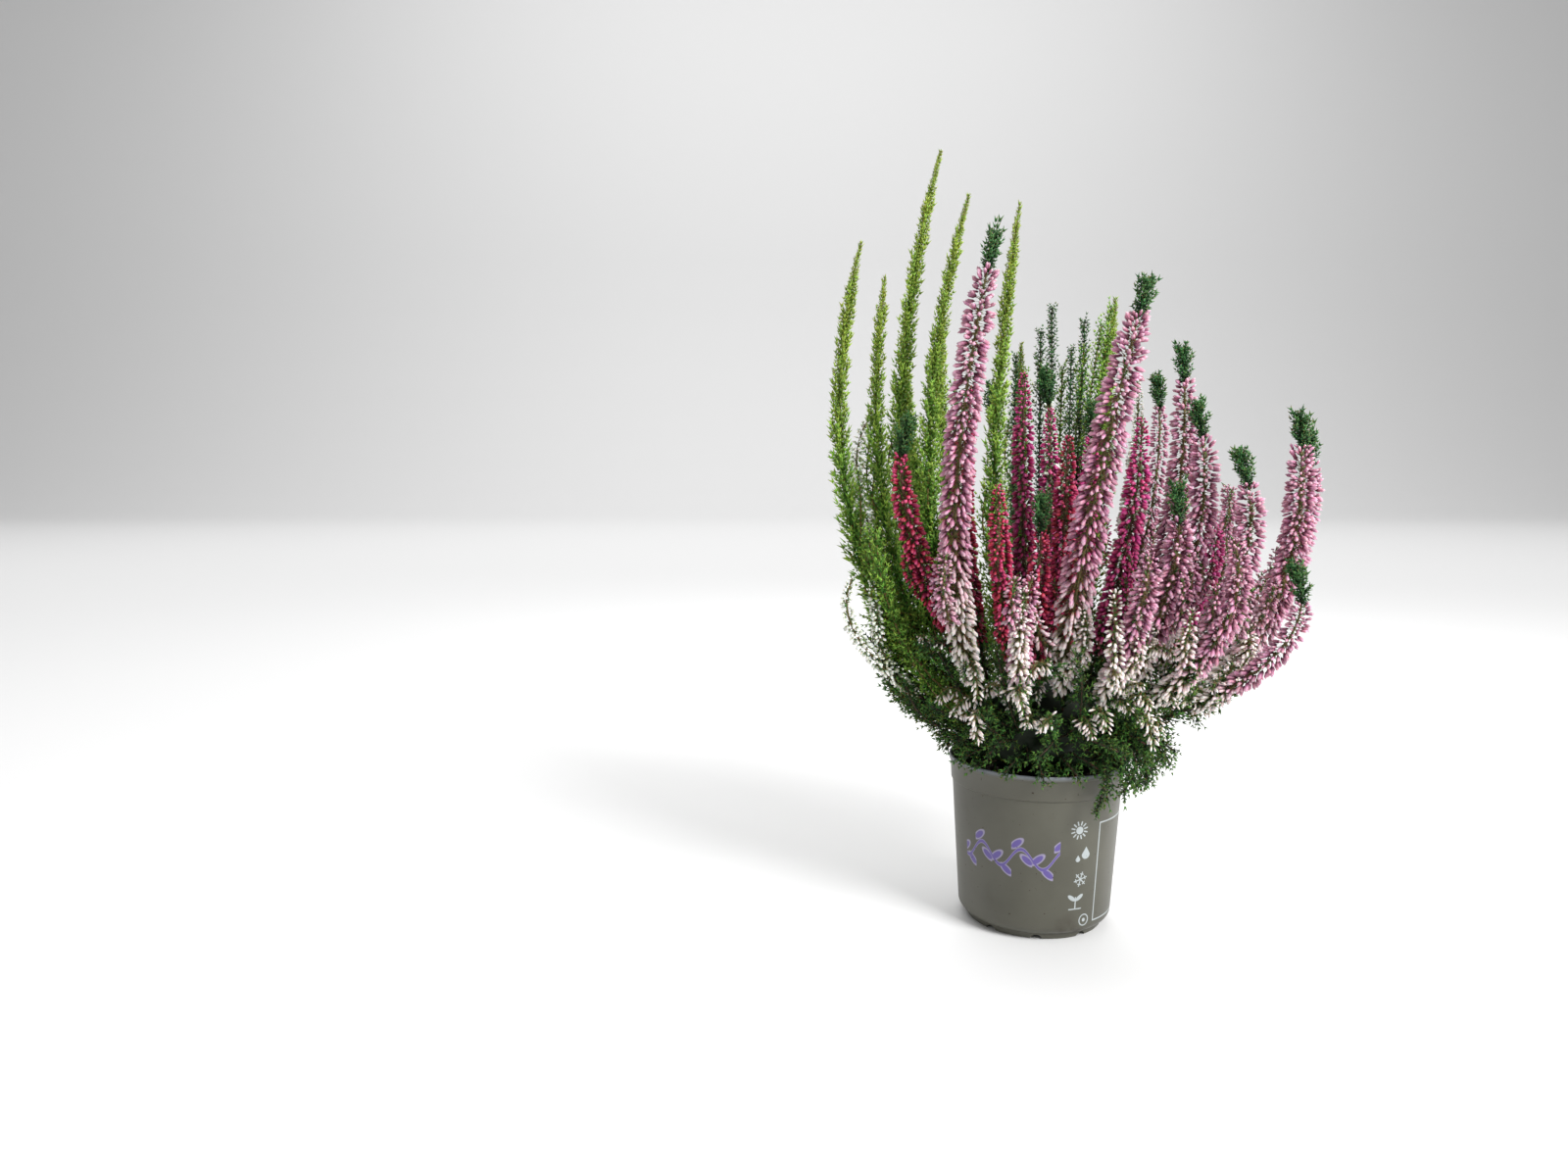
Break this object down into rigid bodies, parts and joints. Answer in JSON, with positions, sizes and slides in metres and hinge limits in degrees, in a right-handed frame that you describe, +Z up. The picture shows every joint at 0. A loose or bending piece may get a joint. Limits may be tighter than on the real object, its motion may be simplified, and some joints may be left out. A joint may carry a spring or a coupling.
{
  "type": "potted heather",
  "caption": "Mixed bud-blooming heather in a round plastic nursery pot: budded flower spikes and green columns rise from a low leafy bush over the rim.",
  "frame": {"origin": "on the table, at the centre of the pot's underside", "axes": "+Z up the plant, -Y towards the front, where the shoots hang over the rim and the decorated side of the pot shows, +X to the right seen from the front"},
  "size_m": [0.3471, 0.2202, 0.5352],
  "materials": {
    "pot": null,
    "soil": "moist dark peat compost with crumbs and fibres",
    "leaf": "matte dark green feathery scale leaves on brown twigs",
    "tip": "matte fresh green young leaves",
    "pink": "soft waxy dusty pink closed buds, paler at their tips",
    "crimson": "soft waxy crimson closed buds",
    "magenta": "soft waxy purplish red closed buds",
    "white": "soft waxy creamy white closed buds with greenish bases",
    "green": "matte yellow-green scale leaves on upright columns"
  },
  "bodies": {
    "root": {"pot": "pot", "soil": "soil", "leafy_bush": "leaf", "pink_1": "pink", "pink_1_tip": "tip", "pink_2": "pink", "pink_2_tip": "tip", "pink_3": "pink", "pink_3_tip": "tip", "pink_4": "pink", "pink_4_tip": "tip", "pink_5": "pink", "pink_5_tip": "tip", "pink_6": "pink", "pink_6_tip": "tip", "pink_7": "pink", "pink_7_tip": "tip", "pink_8": "pink", "pink_8_tip": "tip", "pink_9": "pink", "pink_9_tip": "tip", "pink_10": "pink", "pink_10_tip": "tip", "pink_11": "pink", "pink_12": "pink", "pink_13": "pink", "pink_14": "pink", "pink_15": "pink", "crimson_1": "crimson", "crimson_1_tip": "tip", "crimson_2": "crimson", "crimson_3": "crimson", "crimson_4": "crimson", "crimson_5": "crimson", "crimson_5_tip": "tip", "crimson_6": "crimson", "magenta_1": "magenta", "magenta_2": "magenta", "magenta_3": "magenta", "magenta_4": "magenta", "magenta_5": "magenta", "magenta_5_tip": "tip", "magenta_6": "magenta", "white_1": "white", "white_2": "white", "white_2_tip": "tip", "white_3": "white", "white_3_tip": "tip", "white_4": "white", "white_5": "white", "white_6": "white", "green_1": "green", "green_2": "green", "green_3": "green", "green_4": "green", "green_5": "green", "green_6": "green", "green_7": "green", "green_8": "green", "green_9": "green"}
  },
  "joints": []
}
